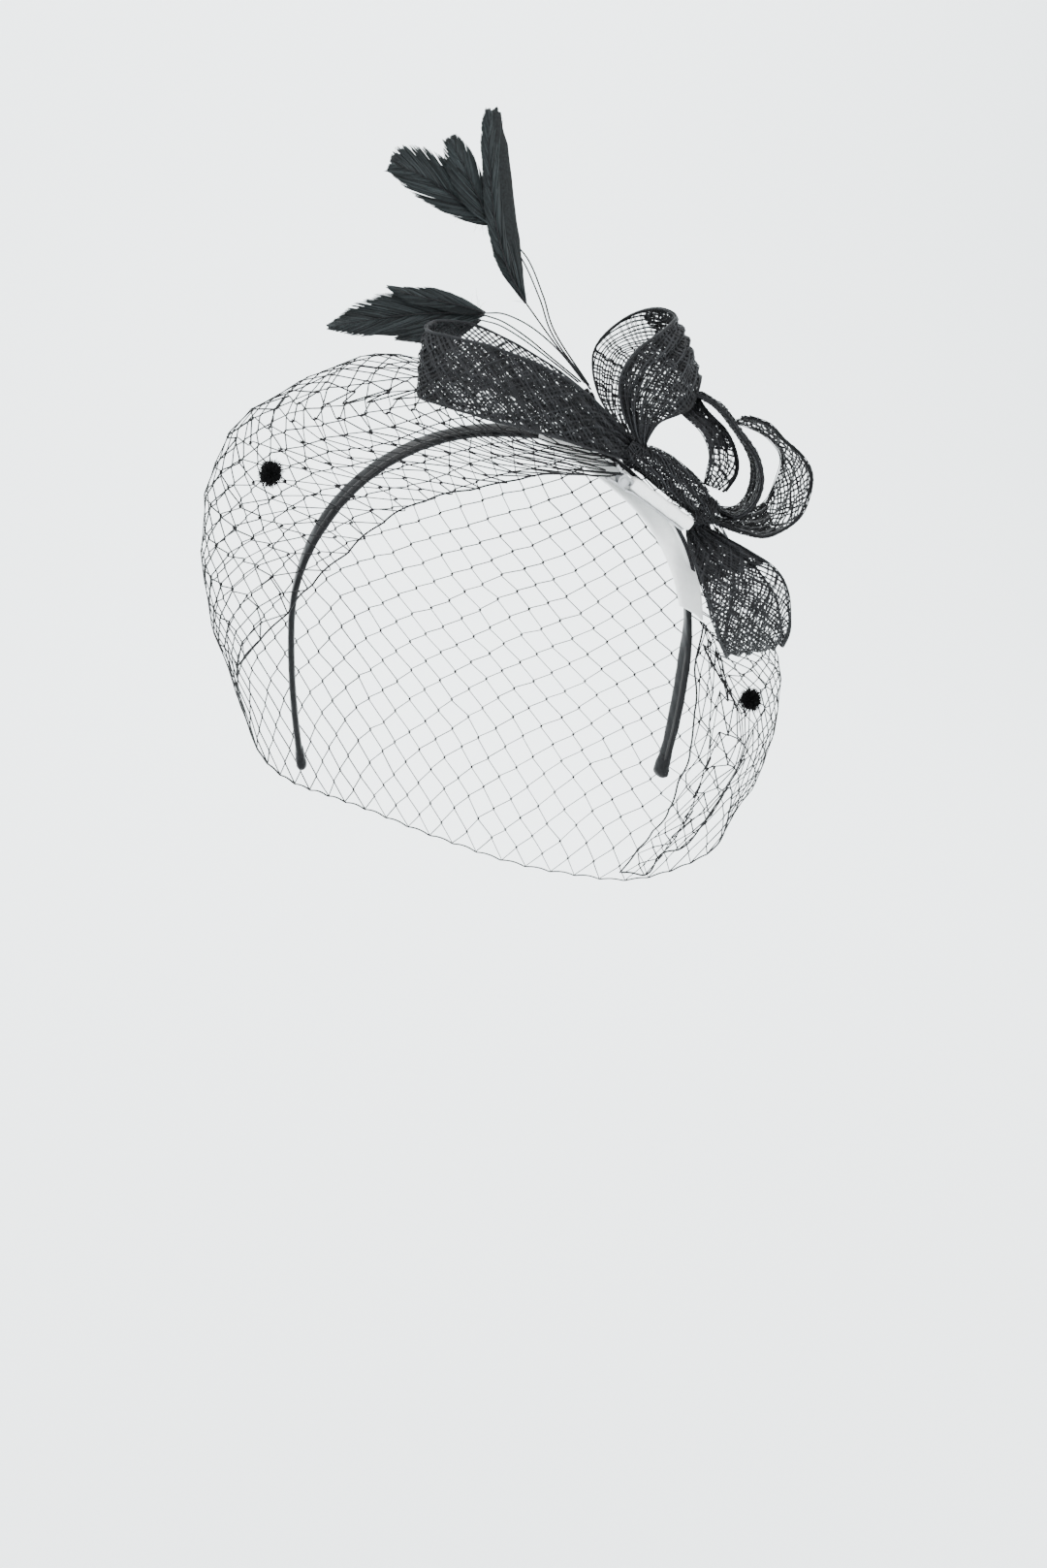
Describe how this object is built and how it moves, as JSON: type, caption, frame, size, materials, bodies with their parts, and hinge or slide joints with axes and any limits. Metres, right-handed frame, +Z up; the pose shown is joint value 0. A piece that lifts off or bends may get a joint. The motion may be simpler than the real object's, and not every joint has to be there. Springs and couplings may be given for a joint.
{
  "type": "fascinator headpiece",
  "caption": "Slim headband worn over the crown with a looped straw-cloth bow, feather sprays, a dotted net face veil and a sprung hair clip under the bow.",
  "frame": {"origin": "centre of the arc that the headband makes over the head, which is the middle of the head it is worn on", "axes": "+Z up, +X the wearer's right, +Y forward, the way the wearer faces"},
  "size_m": [0.2386, 0.1523, 0.3255],
  "materials": {
    "satin_black": "black satin ribbon with a soft sheen",
    "core_plastic": "moulded, hidden inside the satin",
    "straw_cloth_black": "open-weave dyed straw cloth, slightly glossy fibres",
    "thread_black": "wound sewing thread",
    "net_black": "knotted nylon veiling, fine matte thread",
    "chenille_black": "matte chenille pile",
    "feather_black": "dyed feather barbs with a faint green sheen",
    "quill_black": "dyed horn-like quill, half gloss",
    "felt_white": "thin white felt, slightly fuzzy",
    "clip_steel": "plated spring steel"
  },
  "bodies": {
    "headpiece": {"arm_roll": "straw_cloth_black", "base_disc": "straw_cloth_black", "base_lining": "felt_white", "base_stitches": "thread_black", "clip_felt_sleeve": "felt_white", "clip_fixed_jaw": "clip_steel", "clip_pin": "clip_steel", "clip_spring": "clip_steel", "comfort_strip": "felt_white", "gather_binding": "thread_black", "gather_wrap": "straw_cloth_black", "headband_core": "core_plastic", "headband_cover": "satin_black", "knot_binding": "thread_black", "knot_wrap": "straw_cloth_black", "loop_inner": "straw_cloth_black", "loop_left": "straw_cloth_black", "loop_lower": "straw_cloth_black", "loop_right": "straw_cloth_black", "loop_top": "straw_cloth_black", "side_spray_stalk": "thread_black", "tip_wrap_left": "satin_black", "tip_wrap_right": "satin_black", "upper_spray_stalk": "thread_black", "veil_dot_left": "chenille_black", "veil_dot_right": "chenille_black", "veil_net": "net_black"},
    "clip_jaw": {"clip_moving_jaw": "clip_steel"},
    "upper_spray": {"middle_feather_quill": "quill_black", "middle_feather_vane": "feather_black", "tall_feather_quill": "quill_black", "tall_feather_vane": "feather_black", "wide_feather_quill": "quill_black", "wide_feather_vane": "feather_black"},
    "side_spray": {"side_long_feather_quill": "quill_black", "side_long_feather_vane": "feather_black", "side_lower_feather_quill": "quill_black", "side_lower_feather_vane": "feather_black", "side_upper_feather_quill": "quill_black", "side_upper_feather_vane": "feather_black"}
  },
  "joints": [
    {"name": "clip_jaw_hinge", "type": "hinge", "parent": "headpiece", "child": "clip_jaw", "pos_m": [0.0414, -0.019, 0.063], "axis": [0, 1, 0], "range_deg": [0, 30], "stiffness_Nm_per_rad": 0.03, "springref_deg": -22.92},
    {"name": "upper_spray_sway", "type": "hinge", "parent": "headpiece", "child": "upper_spray", "pos_m": [0.031, 0.005, 0.092], "axis": [0, 1, 0], "range_deg": [-8, 8], "stiffness_Nm_per_rad": 0.02},
    {"name": "side_spray_sway", "type": "hinge", "parent": "headpiece", "child": "side_spray", "pos_m": [0.031, 0.015, 0.092], "axis": [0, 1, 0], "range_deg": [0, 12], "stiffness_Nm_per_rad": 0.02, "springref_deg": -5.73}
  ]
}
